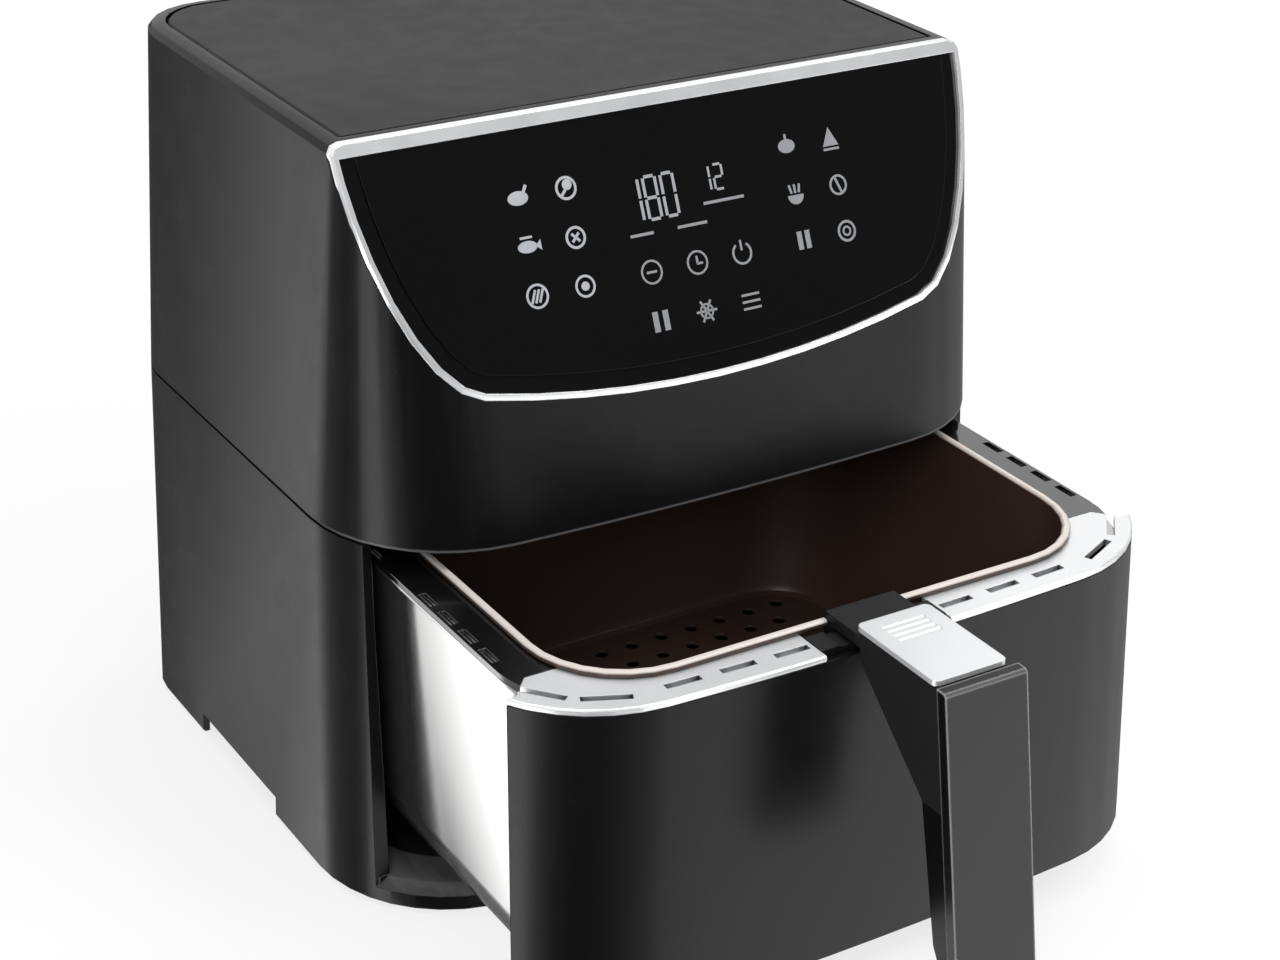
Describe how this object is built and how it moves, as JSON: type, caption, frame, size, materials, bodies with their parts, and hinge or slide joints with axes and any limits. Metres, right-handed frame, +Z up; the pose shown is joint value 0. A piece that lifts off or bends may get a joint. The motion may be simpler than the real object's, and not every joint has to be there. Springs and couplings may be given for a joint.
{
  "type": "drawer air fryer",
  "caption": "Drawer-type air fryer with a slanted touch panel, a pull-out pan with lift-out perforated basket and latched handle, fan and spiral heater.",
  "frame": {"origin": "on the surface it stands on, under the middle of the housing", "axes": "+X towards the user's right when facing the front, -Y out of the front, the way the drawer pulls, +Z up"},
  "size_m": [0.2998, 0.4209, 0.298],
  "materials": {
    "housing_black": "satin, fine grain",
    "cover_grey": "satin",
    "inner_black": "matt",
    "panel_gloss": "gloss",
    "trim_chrome": "polished",
    "rim_silver": "satin silver paint",
    "sheet_steel": "satin",
    "dark_sheet": "matt heat-proof paint",
    "pan_coat": "satin",
    "basket_coat": "non-stick coat, satin",
    "aluminium": "as stamped",
    "heater_steel": "heat-tinted",
    "ceramic": "glazed ceramic look",
    "board_green": "lacquered board",
    "display_white": "matt",
    "motor_iron": "varnished stack and winding",
    "rubber": "matt",
    "bright_steel": "zinc plated",
    "button_red": "satin"
  },
  "bodies": {
    "housing": {"upper_shell": "housing_black", "top_cover": "cover_grey", "lower_shell": "housing_black", "base_tray": "inner_black", "rubber_feet": "rubber", "case_screws": "bright_steel", "control_panel": "panel_gloss", "panel_trim": "trim_chrome", "panel_bezel": "panel_gloss", "touch_board": "board_green", "display_module": "display_white", "exhaust_grille": "inner_black", "exhaust_duct": "sheet_steel", "cord_gland": "rubber", "terminal_block": "ceramic", "bay_liner": "dark_sheet", "bay_ceiling": "dark_sheet", "fan_hood": "sheet_steel", "heater_coil": "heater_steel", "heater_bushes": "ceramic", "heater_guard": "bright_steel", "motor_bracket": "sheet_steel", "fan_motor": "motor_iron", "motor_screws": "bright_steel", "control_board": "board_green", "temperature_probe": "bright_steel", "thermal_cutout": "inner_black", "door_switch": "inner_black"},
    "fan": {"motor_shaft": "bright_steel", "hot_air_fan": "aluminium", "cooling_fan": "inner_black", "fan_nut": "bright_steel"},
    "drawer": {"drawer_pan": "pan_coat", "pan_rim": "inner_black", "drawer_front": "housing_black", "front_rim": "rim_silver", "latch_catch": "inner_black", "drawer_screws": "bright_steel"},
    "basket": {"basket": "basket_coat", "handle_bracket": "inner_black", "handle_back": "housing_black", "handle_front": "housing_black", "handle_screws": "bright_steel", "button_spring": "bright_steel"},
    "guard": {"button_guard": "rim_silver"},
    "button": {"release_button": "button_red"},
    "hook": {"latch_hook": "bright_steel"}
  },
  "joints": [
    {"name": "fan_spin", "type": "hinge", "parent": "housing", "child": "fan", "pos_m": [0, 0, 0.18], "axis": [0, 0, 1], "continuous": true},
    {"name": "drawer_slide", "type": "slide", "parent": "housing", "child": "drawer", "axis": [0, -1, 0], "range_m": [-0.105, 0.1]},
    {"name": "basket_lift", "type": "slide", "parent": "drawer", "child": "basket", "axis": [0, 0, 1], "range_m": [0, 0.003]},
    {"name": "guard_slide", "type": "slide", "parent": "basket", "child": "guard", "axis": [0, 1, 0], "range_m": [0, 0.014]},
    {"name": "button_press", "type": "slide", "parent": "basket", "child": "button", "axis": [0, 0, -1], "range_m": [0, 0.003], "stiffness_N_per_m": 400, "springref_m": -0.004, "deforming": ["button_spring"]},
    {"name": "hook_slide", "type": "slide", "parent": "basket", "child": "hook", "axis": [0, -1, 0], "range_m": [0, 0.003]}
  ],
  "couplings": [
    {"joint": "hook_slide", "follows": "button_press", "ratio": 1}
  ]
}
